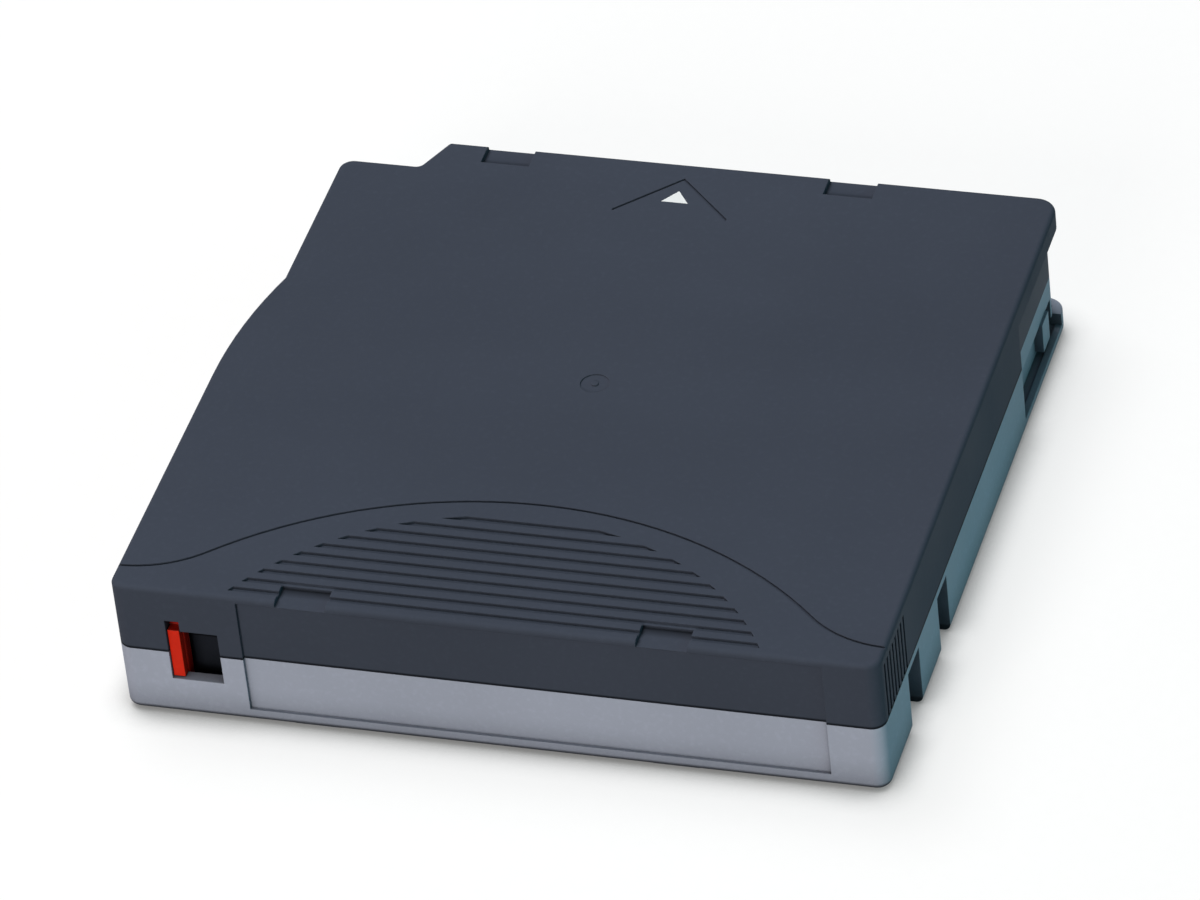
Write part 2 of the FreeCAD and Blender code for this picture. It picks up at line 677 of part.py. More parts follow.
def lower_shell():
    body = housing_half("lower_shell", d.foot, d.parting, d.foot, d.base_round)
    top = d.parting
    backings = [(way * (side_inner + BITE), start - d.notch_wall,
                 way * (right - d.notch_sink - d.notch_back), end + d.notch_wall)
                for way in sides for start, end in notches]
    hollow(body, floor_top, top, backings)
    pocket(body, *at_screws(body, "screw_holes", d.screw_hole, d.foot, top))
    counterbore = d.screw_head + d.screw_play
    pocket(body, *at_screws(body, "counterbores", counterbore, d.foot, screw_low + d.screw_high))

    # hole for the drive gear, with a raised lip that the reel's lower flange runs over
    lip = disc(sketch(body, "hatch_lip_plan", floor_top), d.hatch_radius + d.hatch_lip, 0, d.reel_y)
    pad(body, "hatch_lip", lip, d.flange_low - d.lip_clear - floor_top)
    pocket(body, "hatch", disc(sketch(body, "hatch_plan", 0), d.hatch_radius, 0, d.reel_y), d.flange_low)

    feet = sketch(body, "feet_plan", 0)
    half = d.stack_x / 2 - d.stack_play
    reach = d.stack_y - d.stack_play
    for middle in (d.stack_left, d.stack_right):
        for near, far in ((rear + d.base_round, rear + reach), (front - reach, front - d.base_round)):
            box(feet, middle - half, near, middle + half, far)
    pad(body, "feet", feet, d.foot + BITE)

    # handling notches near the label face, and locating holes
    cuts = sketch(body, "notches_plan", 0)
    for way in sides:
        for start, end in notches:
            box(cuts, way * (right - d.notch_sink), start, way * (right + PAST), end)
    pocket(body, "notches", cuts, d.notch_top)
    holders = sketch(body, "datum_bosses_plan", floor_top)
    for way in sides:
        disc(holders, d.datum_boss, way * d.datum_x, d.datum_y)
    pad(body, "datum_bosses", holders, d.foot + d.datum_deep + d.datum_cap - floor_top)
    low_y, high_y = d.datum_y - d.datum_radius, d.datum_y + d.datum_radius
    start_x, end_x = d.datum_x - d.datum_shift, d.datum_x + d.datum_shift
    holes = disc(sketch(body, "datum_plan", 0), d.datum_radius, -d.datum_x, d.datum_y)
    loop(holes, [
        (start_x, low_y), (end_x, low_y, d.datum_round), (end_x, high_y), (start_x, high_y, d.datum_round),
    ])
    pocket(body, "datum_holes", holes, d.foot + d.datum_deep)

    # label face
    label_recess(body, d.label_low, top)
    window = [(d.window_left, d.window_low), (d.window_right, d.window_low), (d.window_right, top),
              (d.window_left, top)]
    face_gap(body, "window", window, d.wall + BITE)

    # door side: the wall is thinned inside, cut out in front, and the door runs between it and a rib
    guides(body, floor_top, channel_face - d.door_thick - d.guide_play, d.window_right)
    gap(body, "door_slot", side_inner - BITE, d.slot_back, floor_top, slot_x, d.gate_front, top)
    gap(body, "lug_slot", side_inner, d.lug_slot_back, d.lug_low - d.lug_play,
        right - d.lug_slot_skin, d.gate_back + PAST, d.door_step + d.lug_play)
    gap(body, "gate", side_inner - BITE, d.gate_back, d.gate_low, right + PAST, d.gate_front, top)
    gap(body, "gate_corner", d.gate_x, d.gate_front - BITE, d.gate_corner_low,
        right + PAST, front + PAST, top)
    pin_seat(body, floor_top)
    return body


# ---------------------------------------------------------------- upper half

def arched_line():
    """Both edges of the engraved arch: a big arc in the middle, turned up into level ends."""
    middle = rear + d.arch_peak - d.arch_radius
    rise = rear + d.arch_foot - middle
    turned = (right * right + rise * rise - d.arch_radius * d.arch_radius) / (2 * (d.arch_radius - rise))
    points = []
    for way, step in ((-1, 0), (1, d.line_width)):
        outer = d.arch_radius - step
        inner = turned + step
        share = outer / (outer + inner)
        join_x = right * share
        join_y = middle + (rise + turned) * share
        end_y = middle + rise - step
        points += [
            (way * right, end_y, -way * inner), (way * join_x, join_y, way * outer),
            (-way * join_x, join_y, -way * inner), (-way * right, end_y, STRAIGHT),
        ]
    return points


def grip_grooves(drawing):
    """Grooves parallel to the label face, each ending on the inner arch."""
    middle = rear + d.grip_peak - d.grip_radius
    for number in range(GRIP_GROOVES):
        far = rear + d.grip_first - number * d.grip_pitch
        near = far - d.grip_width
        wide_far = side(far - middle, d.grip_radius)
        wide_near = side(near - middle, d.grip_radius)
        loop(drawing, [(-wide_near, near), (wide_near, near), (wide_far, far), (-wide_far, far)])
    return drawing


def top_markings(body):
    """Stacking recesses, engraved lines, grip and gate dimple of the top face."""
    top = d.height
    recesses = sketch(body, "stack_recesses_plan", top)
    for middle in (d.stack_left, d.stack_right):
        for edge, inner in ((rear - PAST, rear + d.stack_y), (front - d.stack_y, front + PAST)):
            box(recesses, middle - d.stack_x / 2, edge, middle + d.stack_x / 2, inner)
    pocket(body, "stack_recesses", recesses, d.stack_sink, back=False)
    tip = front - d.chevron_tip
    end = tip - d.chevron_x
    lines = loop(sketch(body, "lines_plan", top), arched_line())
    loop(lines, [
        (-d.chevron_x, end), (0, tip), (d.chevron_x, end), (d.chevron_x, end - d.chevron_line),
        (0, tip - d.chevron_line), (-d.chevron_x, end - d.chevron_line),
    ])
    pocket(body, "lines", lines, d.line_sink, back=False)
    pocket(body, "grip", grip_grooves(sketch(body, "grip_plan", top)), d.grip_sink, back=False)
    gate = ring(sketch(body, "dimple_plan", top), d.dimple_point, d.dimple - d.dimple_point, 0, d.reel_y)
    pocket(body, "dimple", gate, d.dimple_sink, back=False)


def upper_shell():
    body = housing_half("upper_shell", d.parting, d.height, d.height, d.top_round)
    low = d.parting
    spring_stop = (right - d.notch_sink - d.notch_back, d.fore_notch_end, side_inner + BITE, spring_start)
    hollow(body, low, ceiling, [spring_stop])
    screw_top = screw_low + d.screw_high + d.screw_length
    pocket(body, *at_screws(body, "screw_holes", d.screw_hole, low, screw_top))
    top_markings(body)

    # side grips near the label face
    ridges = sketch(body, "ridges_plan", low)
    for way in sides:
        for number in range(SIDE_GROOVES):
            start = rear + d.ridge_start + number * d.ridge_pitch
            box(ridges, way * (right - d.ridge_sink), start, way * (right + PAST), start + d.ridge_width)
    pocket(body, "ridges", ridges, ceiling - low)

    # label face, and a partition that closes off the space behind the window
    label_recess(body, low, d.label_high)
    peak_end = d.window_left + d.window_peak_width
    window = [
        (d.window_left, low), (d.window_right, low), (d.window_right, d.window_high),
        (peak_end, d.window_high), (peak_end, d.window_peak), (d.window_left, d.window_peak),
    ]
    face_gap(body, "window", window, d.wall + BITE)
    near = rear_inner + d.pocket_gap
    start_x, side_x = d.window_left + d.pocket_left, d.window_right + d.pocket_right
    partition = loop(sketch(body, "partition_plan", d.pocket_low), [
        (start_x, near), (side_x, near), (side_x, rear_inner), (side_x + d.thin_rib, rear_inner),
        (side_x + d.thin_rib, near + d.thin_rib), (start_x, near + d.thin_rib),
    ])
    pad(body, "partition", partition, ceiling - d.pocket_low)

    # door side
    guides(body, ceiling - d.thin_rib_high, door_face - d.door_thick - d.guide_play, start_x)
    gap(body, "door_slot", side_inner - BITE, d.slot_back, low, slot_x, d.gate_front, ceiling)
    gate = loop(sketch(body, "gate_plan", low), [
        (side_inner - BITE, d.gate_back), (right + PAST, d.gate_back), (right + PAST, front + PAST),
        (d.gate_x, front + PAST), (d.gate_x, d.gate_front), (side_inner - BITE, d.gate_front),
    ])
    pocket(body, "gate", gate, d.gate_high - low)
    pin_seat(body, ceiling - d.seat_high)

    # cross key that keeps the brake button from turning, inside the spring's seat
    key = cross(sketch(body, "key_plan", d.key_low), sized(0), d.reel_y, d.key_thick / 2, d.key_span / 2)
    pad(body, "key", key, ceiling - d.key_low)
    seat = sketch(body, "spring_seat_plan", ceiling - d.coil_seat)
    ring(seat, d.coil_radius + d.coil_seat_gap, d.coil_seat, 0, d.reel_y)
    pad(body, "spring_seat", seat, d.coil_seat)
    return body


# ---------------------------------------------------------------- fixed inner pieces

def corner_screws():
    """Four like screws, driven up through the lower half into the upper one."""
    body = new_body("corner_screws")
    under_head = screw_low + d.screw_high
    pad(body, *at_screws(body, "heads", d.screw_head, screw_low, under_head))
    pad(body, *at_screws(body, "shanks", d.screw_hole, under_head, under_head + d.screw_length))
    drives = sketch(body, "drives_plan", screw_low)
    for x, y in screw_spots:
        cross(drives, x, y, d.drive_half, d.drive_arm)
    pocket(body, "drives", drives, d.drive_deep)
    return body


def leader_pin():
    """The steel pin that a drive pulls the tape out by, with a collar near each end."""
    body = new_body("leader_pin")
    shank, collar, bevel = d.pin_radius, d.pin_end, d.collar_bevel
    low, high = floor_top, ceiling
    cone = d.collar_high + d.collar_cone
    revolve(body, "pin", [
        (0, low), (collar - bevel, low), (collar, low + bevel), (collar, low + d.collar_high),
        (shank, low + cone), (shank, high - cone), (collar, high - d.collar_high),
        (collar, high - bevel), (collar - bevel, high), (0, high),
    ])
    at_the_pin(body)
    return body


def leader_clip():
    """The C-shaped clip that holds the tape's end on the pin."""
    body = new_body("leader_clip")
    plan = ring(sketch(body, "clip_plan", tape_low), d.pin_radius, d.clip_radius - d.pin_radius)
    pad(body, "clip", plan, d.tape_width)
    gap(body, "clip_mouth", d.clip_mouth, -d.clip_mouth, tape_low,
        d.clip_radius + PAST, d.clip_mouth, tape_high)
    at_the_pin(body)
    return body


def tape_leader():
    """The free span of tape, straight from the wound tape to the clip."""
    body = new_body("tape_leader")
    away = d.pin_y - d.reel_y
    span = root(d.pin_x * d.pin_x + away * away)
    winding = d.pack_radius + d.leader_clear + d.film
    reach = side(winding, span)
    # the tangent point, from the pin's direction turned back by the tangent's angle
    cosine, sine = winding / span, reach / span
    start_x = winding * (d.pin_x / span * cosine + away / span * sine)
    start_y = winding * (away / span * cosine - d.pin_x / span * sine)
    # cut short of the clip's outside
    share = 1 - d.clip_radius / reach
    end_x = start_x + (d.pin_x - start_x) * share
    end_y = start_y + (away - start_y) * share
    side_x, side_y = start_x / winding * d.film, start_y / winding * d.film
    strip = loop(sketch(body, "strip_plan", tape_low), [
        (start_x, start_y), (end_x, end_y), (end_x - side_x, end_y - side_y),
        (start_x - side_x, start_y - side_y),
    ])
    pad(body, "strip", strip, d.tape_width)
    on_reel_axis(body)
    return body


def pin_spring():
    """A bent leaf with an arm at each end of the pin, held between floor and ceiling."""
    body = new_body("pin_spring")
    outer_y = front - d.wall
    bend_x = d.pin_x + d.leaf_bend
    touch = d.pin_x + d.pin_end
    block(body, "spine", d.leaf_start, outer_y - d.leaf, floor_top, bend_x, outer_y, ceiling)
    press_low, press_high = d.pin_y - d.leaf_press, d.pin_y + d.leaf_press
    arms = [
        (bend_x - d.leaf, outer_y), (bend_x - d.leaf, press_high + d.leaf_slant), (touch, press_high),
        (touch, press_low), (touch + d.leaf, press_low), (touch + d.leaf, press_high - BITE),
        (bend_x, press_high - BITE + d.leaf_slant), (bend_x, outer_y),
    ]
    upper_arm_low = ceiling - d.leaf_lift - d.leaf_arm
    for name, low in (("lower_arm", floor_top + d.leaf_lift), ("upper_arm", upper_arm_low)):
        pad(body, name, loop(sketch(body, name + "_plan", low), arms), d.leaf_arm)
    return body


def across_corner(body):
    """Turns a body by 45 degrees and moves it to the memory board's place."""
    body.Placement = FreeCAD.Placement(V(0, 0, 0), FreeCAD.Rotation(V(0, 0, 1), 45))
    bind(body, "Placement.Base.x", d.board_x)
    bind(body, "Placement.Base.y", d.board_y)


def memory_board():
    """The contactless memory's board, across the corner beside the label face."""
    body = new_body("memory_board")
    half, face = d.board_long / 2, d.board_thick / 2
    block(body, "board", -half, -face, floor_top, half, face, floor_top + d.board_high)
    across_corner(body)
    return body


def memory_chip():
    body = new_body("memory_chip")
    face = d.board_thick / 2
    low = floor_top + d.chip_low
    block(body, "chip", -d.chip_half, face, low, d.chip_half, face + d.chip_thick, low + d.chip_half * 2)
    across_corner(body)
    return body


def coil(name, wire, radius, length, turns):
    """A spring of square wire along +Z from the origin."""
    body = new_body(name)
    section = sketch(body, "wire_section", 0, "XZ_Plane")
    box(section, radius - wire / 2, 0, radius + wire / 2, wire)
    helix = body.newObject("PartDesign::AdditiveHelix", "coil")
    helix.Profile = section
    helix.ReferenceAxis = (section, ["V_Axis"])
    helix.Mode = "height-turns-growth"
    bind(helix, "Height", length - wire)
    bind(helix, "Turns", turns)
    finished(body, helix, 1)
    return body


def door_spring():
    """Pushes the door shut, between the housing's stop and the door's block."""
    length = d.spring_end - spring_start
    body = coil("door_spring", d.spring_wire, d.spring_radius, length, d.spring_turns)
    body.Placement = FreeCAD.Placement(V(0, 0, 0), FreeCAD.Rotation(V(1, 0, 0), -90))
    bind(body, "Placement.Base.x", d.spring_x)
    bind(body, "Placement.Base.y", spring_start)
    bind(body, "Placement.Base.z", d.spring_z)
    return body


def brake_spring():
    """Pushes the brake button down, between it and the ceiling."""
    body = coil("brake_spring", d.coil_wire, d.coil_radius, ceiling - d.brake_top, d.coil_turns)
    on_reel_axis(body)
    bind(body, "Placement.Base.z", d.brake_top)
    return body


# ---------------------------------------------------------------- door

def door():
    """A sheet with a channel along its lower half and an end that curls round the front corner."""
    body = new_body("door")
    thick = d.door_thick
    back_face, back_channel = door_face - thick, channel_face - thick
    section = [
        (back_channel, d.door_low), (channel_face, d.door_low), (channel_face, d.door_step),
        (door_face, d.door_step), (door_face, d.door_high), (back_face, d.door_high),
        (back_face, d.door_step + thick), (back_channel, d.door_step + thick),
    ]
    sheet = loop(sketch(body, "sheet_section", -d.door_back, "XZ_Plane"), section)
    pad(body, "sheet", sheet, d.door_front - d.door_back, back=True)
    start = d.door_front
    end_y = start + d.door_curl
    turn_x = door_face - d.door_curl
    end_x = d.gate_x + d.door_play
    curl = [
        (back_face, start - BITE), (door_face, start - BITE), (door_face, start, d.door_curl),
        (turn_x, end_y), (end_x, end_y), (end_x, end_y - thick),
        (turn_x, end_y - thick, thick - d.door_curl), (back_face, start),
    ]
    low, high = d.gate_corner_low + d.door_play, d.gate_high - d.door_play
    pad(body, "curl", loop(sketch(body, "curl_plan", low), curl), high - low)
    # lug in the channel that a drive pushes, and the spring's block
    block(body, "lug", channel_face - BITE, d.lug_back, d.lug_low,
          right - d.lug_set_in, d.lug_front, d.door_step)
    block(body, "spring_block", d.spring_x - d.spring_block, d.spring_end, d.spring_z - d.spring_block,
          door_face - BITE, d.spring_end + d.spring_block_deep, d.spring_z + d.spring_block)
    return body


# ---------------------------------------------------------------- write-protect tab

def write_protect_tab():
    """A plate that slides behind the label face, with a finger rib in the window."""
    body = new_body("write_protect_tab")
    end = d.tab_left + d.tab_width
    near = rear_inner + d.tab_play
    block(body, "plate", d.tab_left, near, floor_top + d.tab_play, end, near + d.tab_thick,
          ceiling - d.tab_play * 2)
    rib_end = end - d.tab_play
    block(body, "rib", rib_end - d.tab_rib, rear + d.tab_rib_set_in, d.window_low + d.tab_play * 2,
          rib_end, near + BITE, d.window_high - d.tab_play * 3)
    return body


# ---------------------------------------------------------------- reel

def tooth_gap(body, name, tips, way):
    """Cuts a ring of gaps whose flanks all lead to the axis: way +1 cuts up from the tips, -1 down."""
    sections = []
    for radius in (d.gear_inner - PAST, d.gear_outer + PAST):
        drawing = sketch(body, name + "_section", radius, "YZ_Plane")
        half = radius * tangent(half_tooth)
        deep = way * d.tooth_deep * radius / d.gear_outer
        sections.append(loop(drawing, [(-half, tips), (half, tips), (0, tips + deep)]))
    cutter = body.newObject("PartDesign::SubtractiveLoft", name)
    cutter.Profile = sections[0]
    cutter.Sections = sections[1:]
    cutter.Ruled = True
    finished(body, cutter, -1)
    return repeat_round(body, name + "_ring", cutter, d.teeth)


def tooth_ring(body, low, high):
    plan = ring(sketch(body, "gear_plan", low), d.gear_inner, d.gear_outer - d.gear_inner)
    return pad(body, "gear", plan, high - low)


def turned_to_mesh(body):
    """Turns a body by half a tooth, so that its locking teeth stand in the brake's gaps."""
    body.Placement = FreeCAD.Placement(V(0, 0, 0), FreeCAD.Rotation(V(0, 0, 1), 1))
    bind(body, "Placement.Rotation.Angle", half_tooth)
    on_reel_axis(body)


def reel_hub():
    """Hub with the lower flange, drive teeth below its floor and three banks of locking teeth above it."""
    body = new_body("reel_hub")
    tooth_ring(body, d.gear_low, d.lock_high)
    tooth_gap(body, "drive_gap", d.gear_low, 1)
    tooth_gap(body, "lock_gap", d.lock_high, -1)
    # the release pad's arms pass between the banks
    bay = sketch(body, "arm_bay_plan", d.web_top)
    box(bay, d.gear_inner / 2, -d.bay_half, d.gear_outer + PAST, d.bay_half)
    repeat_round(body, "arm_bays", pocket(body, "arm_bay", bay, d.lock_high), 3)
    revolve(body, "hub", [
        (d.hub_bore, d.flange_low), (d.flange_radius, d.flange_low),
        (d.flange_radius, flange_top - d.flange_taper), (d.taper_start, flange_top),
        (d.hub_radius, flange_top), (d.hub_radius, upper_flange_low), (hub_inner, upper_flange_low),
        (hub_inner, d.web_top), (d.hub_bore, d.web_top),
    ])
    hole = disc(sketch(body, "leg_hole_plan", 0), d.leg_radius + d.leg_play, d.leg_circle, 0)
    repeat_round(body, "leg_holes", pocket(body, "leg_hole", hole, d.lock_high), 3)
    turned_to_mesh(body)
    return body


def upper_flange():
    body = new_body("upper_flange")
    low, high, bevel = upper_flange_low, upper_flange_top, d.flange_taper
    revolve(body, "flange", [
        (hub_inner, low), (d.taper_start, low), (d.flange_radius, low + d.flange_taper),
        (d.flange_radius, high - bevel), (d.flange_radius - bevel, high), (hub_inner + bevel, high),
        (hub_inner, high - bevel),
    ])
    on_reel_axis(body)
    return body


def tape_pack():
    """The wound tape, as one solid."""
    body = new_body("tape_pack")
    plan = ring(sketch(body, "pack_plan", tape_low), d.hub_radius, d.pack_radius - d.hub_radius)
    pad(body, "pack", plan, d.tape_width)
    on_reel_axis(body)
    return body


def clutch_plate():
    """The steel washer that a drive's magnet holds, under the hub's floor."""
    body = new_body("clutch_plate")
    plan = sketch(body, "plate_plan", d.flange_low - d.plate_thick)
    pad(body, "plate", ring(plan, d.plate_inner, d.plate_outer - d.plate_inner), d.plate_thick)
    on_reel_axis(body)
    return body


# ---------------------------------------------------------------- brake

def brake_button():
    """A toothed button with a cross-slotted socket that slides on the housing's key."""
    body = new_body("brake_button")
    tooth_ring(body, brake_low, d.brake_top)
    tooth_gap(body, "brake_gap", brake_low, 1)
    under = d.brake_top - d.brake_plate
    push = d.pad_low + d.pad_thick + d.nose_clear
    revolve(body, "button", [
        (0, push), (d.nose_tip, push), (d.nose_base, push + d.nose_cone), (d.nose_base, under),
        (d.brake_radius, under), (d.brake_radius, d.brake_top), (d.socket_radius, d.brake_top),
        (d.socket_radius, d.socket_top), (0, d.socket_top),
    ])
    floor = d.brake_top + d.socket_floor
    slot = sketch(body, "key_slot_plan", floor)
    cross(slot, sized(0), sized(0), d.key_thick / 2 + d.key_play, d.key_span / 2 + d.key_play)
    pocket(body, "key_slot", slot, d.socket_top - floor)
    on_reel_axis(body)
    return body


def release_pad():
    """A three-armed pad under the brake button, whose legs a drive pushes up through the hub's floor."""
    body = new_body("release_pad")
    pad(body, "middle", disc(sketch(body, "middle_plan", d.pad_low), d.pad_radius), d.pad_thick)
    high = d.pad_low + d.pad_thick
    arm = block(body, "arm", d.arm_start, -d.arm_half, d.pad_low, d.leg_circle, d.arm_half, high)
    repeat_round(body, "arms", arm, 3)
    leg = disc(sketch(body, "leg_plan", d.leg_low), d.leg_radius, d.leg_circle, 0)
    repeat_round(body, "legs", pad(body, "leg", leg, high - d.leg_low), 3)
    turned_to_mesh(body)
    return body


# ---------------------------------------------------------------- build, test and write

MAKERS = [
    lower_shell, upper_shell, corner_screws, leader_pin, leader_clip, tape_leader, pin_spring,
    memory_board, memory_chip, door_spring, door, write_protect_tab, reel_hub, upper_flange, tape_pack,
    clutch_plate, brake_button, brake_spring, release_pad,
]


def main():
    pieces = [make() for make in MAKERS]
    doc.recompute()
    failed = [thing.Name for thing in doc.Objects if {"Invalid", "Error"} & set(thing.State)]
    failed += [piece.Label for piece in pieces if piece.Shape.isNull() or not piece.Shape.isValid()]
    if failed:
        raise RuntimeError("not built: " + ", ".join(failed))
    os.makedirs("parts", exist_ok=True)
    for piece in pieces:
        piece.Shape.exportStep(f"parts/{piece.Label}.step")


main()
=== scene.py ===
"""Looks of the data tape cartridge.

Finishes for its pieces, the printed direction mark, copies of the springs that stand in for them, and the floor,
light and camera.
"""

import json
import math

import bpy
from mathutils import Matrix, Vector

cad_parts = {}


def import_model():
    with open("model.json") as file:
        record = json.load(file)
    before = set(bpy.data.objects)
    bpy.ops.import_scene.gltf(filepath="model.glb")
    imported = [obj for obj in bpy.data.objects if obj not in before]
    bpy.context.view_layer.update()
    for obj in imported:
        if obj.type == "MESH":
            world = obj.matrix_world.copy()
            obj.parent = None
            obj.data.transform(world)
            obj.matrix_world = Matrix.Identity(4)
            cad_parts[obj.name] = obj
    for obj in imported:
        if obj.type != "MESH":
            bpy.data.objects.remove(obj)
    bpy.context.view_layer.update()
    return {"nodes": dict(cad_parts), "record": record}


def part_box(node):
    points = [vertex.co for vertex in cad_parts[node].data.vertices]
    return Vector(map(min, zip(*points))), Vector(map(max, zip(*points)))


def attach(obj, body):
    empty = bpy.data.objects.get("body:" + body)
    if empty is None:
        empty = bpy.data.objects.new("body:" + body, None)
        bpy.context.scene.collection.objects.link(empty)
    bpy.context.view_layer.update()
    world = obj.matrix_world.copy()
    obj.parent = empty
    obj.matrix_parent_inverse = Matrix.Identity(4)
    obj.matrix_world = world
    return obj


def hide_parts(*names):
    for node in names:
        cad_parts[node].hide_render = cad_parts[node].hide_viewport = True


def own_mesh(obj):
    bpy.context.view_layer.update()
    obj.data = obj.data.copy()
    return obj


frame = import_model()
MM = 0.001
PROBES = 4  # of a softened edge or a hollow, at each point


# ---------------------------------------------------------------- materials

class Paint:
    """A node material, built a node at a time."""

    def __init__(self, name):
        self.material = bpy.data.materials.new(name)
        self.material.use_nodes = True
        self.tree = self.material.node_tree
        self.shader = self.tree.nodes["Principled BSDF"]
        self.place = self.node("ShaderNodeTexCoord").outputs["Object"]

    def node(self, kind, props=None, **sockets):
        """A new node; sockets are named by their labels, or as i0, i1 and so on by number."""
        made = self.tree.nodes.new(kind)
        for key, value in (props or {}).items():
            setattr(made, key, value)
        for key, value in sockets.items():
            numbered = key[0] == "i" and key[1:].isdigit()
            self.feed(made.inputs[int(key[1:]) if numbered else key.replace("_", " ")], value)
        return made

    def vector(self, operation, first, second=(0.0, 0.0, 0.0)):
        made = self.node("ShaderNodeVectorMath", {"operation": operation}, i0=first, i1=second)
        return made.outputs["Value" if operation in ("DOT_PRODUCT", "LENGTH") else "Vector"]

    def feed(self, socket, value):
        if isinstance(value, bpy.types.NodeSocket):
            self.tree.links.new(value, socket)
        elif socket.type == "VECTOR":
            socket.default_value = value[:3]
        else:
            socket.default_value = value

    def math(self, operation, first, second=0.0, third=0.0):
        made = self.node("ShaderNodeMath", {"operation": operation}, i0=first, i1=second, i2=third)
        return made.outputs[0]

    def noise(self, scale, detail=2.0, place=None, rough=0.5):
        made = self.node("ShaderNodeTexNoise", Vector=place or self.place, Scale=scale, Detail=detail,
                         Roughness=rough)
        return made.outputs["Fac"]

    def stretched(self, x, y, z):
        """The object's coordinates, scaled along each axis."""
        made = self.node("ShaderNodeMapping", Vector=self.place, Scale=(x, y, z))
        return made.outputs[0]

    def spread(self, value, low, high, to_low, to_high):
        """Carries the range from low to high over to another range, and stays within it."""
        made = self.node("ShaderNodeMapRange", Value=value, From_Min=low, From_Max=high, To_Min=to_low,
                         To_Max=to_high)
        return made.outputs[0]

    def outwards(self, low, high):
        """0 in the middle of a box and 1 on its faces."""
        off = self.vector("SUBTRACT", self.place, (low + high) / 2)
        off = self.vector("ABSOLUTE", self.vector("DIVIDE", off, (high - low) / 2))
        x, y, z = self.node("ShaderNodeSeparateXYZ", Vector=off).outputs
        return self.math("MAXIMUM", x, self.math("MAXIMUM", y, z))

    def tint(self, factor, first, second):
        """Goes from one colour to another with the factor."""
        made = self.node("ShaderNodeMix", {"data_type": "RGBA"}, i0=factor, i6=first, i7=second)
        return made.outputs[2]

    def soften(self, radius):
        """The surface's direction, with edges softened by a radius."""
        return self.node("ShaderNodeBevel", {"samples": PROBES}, Radius=radius).outputs[0]

    def open_sky(self, reach, samples):
        """1 on open faces and less in hollows, as far as the reach shows."""
        return self.node("ShaderNodeAmbientOcclusion", {"samples": samples}, Distance=reach).outputs["AO"]

    def edges(self, bent):
        """1 on sharp edges and 0 on flat faces."""
        true = self.node("ShaderNodeNewGeometry").outputs["True Normal"]
        return self.spread(self.vector("DOT_PRODUCT", bent, true), 0.97, 0.75, 0.0, 1.0)

    def relief(self, height, strength, distance, bent=None):
        """Small bumps, over softened edges."""
        bump = self.node("ShaderNodeBump", Height=height, Strength=strength, Distance=distance)
        if bent:
            self.feed(bump.inputs["Normal"], bent)
        self.feed(self.shader.inputs["Normal"], bump.outputs[0])

    def coat(self, **sockets):
        for key, value in sockets.items():
            self.feed(self.shader.inputs[key.replace("_", " ")], value)
        return self.material


MIDS = (0.3, 0.7)  # where most of a noise lies
HOLLOW_REACH = 6 * MM
SKIN = (0.925, 0.955)  # where the housing's wall begins, from its middle at 0 to its faces at 1
# paler colour of the edges, partly worn plastic and partly painted highlight
WORN_LIT_EDGE = (0.5, 0.52, 0.56, 1.0)


def shade(colour, share):
    """The colour made darker or lighter, with an alpha of 1."""
    return (*(min(1.0, c * share) for c in colour), 1.0)


